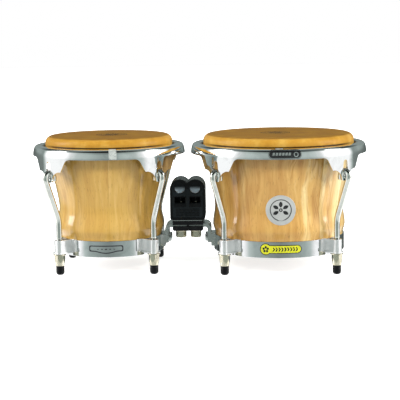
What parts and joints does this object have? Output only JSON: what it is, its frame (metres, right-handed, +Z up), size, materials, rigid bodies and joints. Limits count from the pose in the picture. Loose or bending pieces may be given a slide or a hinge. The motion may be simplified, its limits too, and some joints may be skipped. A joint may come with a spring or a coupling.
{
  "type": "bongo drums",
  "caption": "Small and large wooden hand drums side by side with skin heads, chromed rod-tuned rims and bands, joined by a moulded centre block on a steel bridge.",
  "frame": {"origin": "on the floor under the middle of the pair's box", "axes": "+X from the small drum to the large one, +Y away from the player's side with the badges, +Z up"},
  "size_m": [0.4576, 0.2412, 0.1835],
  "materials": {
    "small_wood": "gloss lacquered pale rubber wood, even grain",
    "large_wood": "gloss lacquered pale rubber wood, streaked grain",
    "skin": "amber rawhide, smooth satin",
    "chrome": "polished chrome plate",
    "zinc": "pale champagne zinc plate, satin",
    "plain_steel": "zinc plated steel, satin",
    "black_steel": "black oxide",
    "rubber": "soft black rubber",
    "moulded_black": "black glass-filled plastic, satin",
    "silver_badge": "brushed aluminium with a printed ornament",
    "dark_badge": "domed label, black with silver",
    "yellow_badge": "domed label, yellow-green with black"
  },
  "bodies": {
    "frame": {"small_shell": "small_wood", "small_head": "skin", "small_band": "chrome", "small_washers": "zinc", "small_lug_fl": "chrome", "small_lug_fr": "chrome", "small_lug_bl": "chrome", "small_lug_br": "chrome", "large_shell": "large_wood", "large_head": "skin", "large_band": "chrome", "large_washers": "zinc", "large_lug_fl": "chrome", "large_lug_fr": "chrome", "large_lug_bl": "chrome", "large_lug_br": "chrome", "shell_badge": "silver_badge", "band_badge": "yellow_badge", "centre_block": "moulded_black", "clamp_plate": "plain_steel", "upper_pad": "moulded_black", "lower_pad": "moulded_black", "bridge_strap": "chrome", "small_saddle": "plain_steel", "large_saddle": "plain_steel", "bridge_screws": "plain_steel", "bridge_nuts": "plain_steel", "block_bolts": "zinc", "block_washers": "zinc", "block_nuts": "black_steel"},
    "small_crown_set": {"small_crown": "chrome", "small_flesh_hoop": "plain_steel", "small_rod_fl": "chrome", "small_rod_fr": "chrome", "small_rod_bl": "chrome", "small_rod_br": "chrome", "small_cap_fl": "rubber", "small_cap_fr": "rubber", "small_cap_bl": "rubber", "small_cap_br": "rubber"},
    "small_tuner_fl": {"small_nut_fl": "zinc"},
    "small_tuner_fr": {"small_nut_fr": "zinc"},
    "small_tuner_bl": {"small_nut_bl": "zinc"},
    "small_tuner_br": {"small_nut_br": "zinc"},
    "large_crown_set": {"large_crown": "chrome", "large_flesh_hoop": "plain_steel", "large_rod_fl": "chrome", "large_rod_fr": "chrome", "large_rod_bl": "chrome", "large_rod_br": "chrome", "large_cap_fl": "rubber", "large_cap_fr": "rubber", "large_cap_bl": "rubber", "large_cap_br": "rubber", "crown_badge": "dark_badge"},
    "large_tuner_fl": {"large_nut_fl": "zinc"},
    "large_tuner_fr": {"large_nut_fr": "zinc"},
    "large_tuner_bl": {"large_nut_bl": "zinc"},
    "large_tuner_br": {"large_nut_br": "zinc"}
  },
  "joints": [
    {"name": "small_crown_slide", "type": "slide", "parent": "frame", "child": "small_crown_set", "axis": [0, 0, -1], "range_m": [0, 0.005]},
    {"name": "large_crown_slide", "type": "slide", "parent": "frame", "child": "large_crown_set", "axis": [0, 0, -1], "range_m": [0, 0.005]},
    {"name": "small_nut_turn_fl", "type": "hinge", "parent": "frame", "child": "small_tuner_fl", "pos_m": [-0.18788, -0.06343, 0.02], "axis": [0, 0, 1], "range_deg": [0, 1441]},
    {"name": "small_nut_turn_fr", "type": "hinge", "parent": "frame", "child": "small_tuner_fr", "pos_m": [-0.06102, -0.06343, 0.02], "axis": [0, 0, 1], "range_deg": [0, 1441]},
    {"name": "small_nut_turn_bl", "type": "hinge", "parent": "frame", "child": "small_tuner_bl", "pos_m": [-0.18788, 0.06343, 0.02], "axis": [0, 0, 1], "range_deg": [0, 1441]},
    {"name": "small_nut_turn_br", "type": "hinge", "parent": "frame", "child": "small_tuner_br", "pos_m": [-0.06102, 0.06343, 0.02], "axis": [0, 0, 1], "range_deg": [0, 1441]},
    {"name": "large_nut_turn_fl", "type": "hinge", "parent": "frame", "child": "large_tuner_fl", "pos_m": [0.03405, -0.0746, 0.02], "axis": [0, 0, 1], "range_deg": [0, 1441]},
    {"name": "large_nut_turn_fr", "type": "hinge", "parent": "frame", "child": "large_tuner_fr", "pos_m": [0.18325, -0.0746, 0.02], "axis": [0, 0, 1], "range_deg": [0, 1441]},
    {"name": "large_nut_turn_bl", "type": "hinge", "parent": "frame", "child": "large_tuner_bl", "pos_m": [0.03405, 0.0746, 0.02], "axis": [0, 0, 1], "range_deg": [0, 1441]},
    {"name": "large_nut_turn_br", "type": "hinge", "parent": "frame", "child": "large_tuner_br", "pos_m": [0.18325, 0.0746, 0.02], "axis": [0, 0, 1], "range_deg": [0, 1441]}
  ],
  "couplings": [
    {"joint": "small_nut_turn_fl", "follows": "small_crown_slide", "rad_per_m": 5026.5},
    {"joint": "small_nut_turn_fr", "follows": "small_crown_slide", "rad_per_m": 5026.5},
    {"joint": "small_nut_turn_bl", "follows": "small_crown_slide", "rad_per_m": 5026.5},
    {"joint": "small_nut_turn_br", "follows": "small_crown_slide", "rad_per_m": 5026.5},
    {"joint": "large_nut_turn_fl", "follows": "large_crown_slide", "rad_per_m": 5026.5},
    {"joint": "large_nut_turn_fr", "follows": "large_crown_slide", "rad_per_m": 5026.5},
    {"joint": "large_nut_turn_bl", "follows": "large_crown_slide", "rad_per_m": 5026.5},
    {"joint": "large_nut_turn_br", "follows": "large_crown_slide", "rad_per_m": 5026.5}
  ]
}
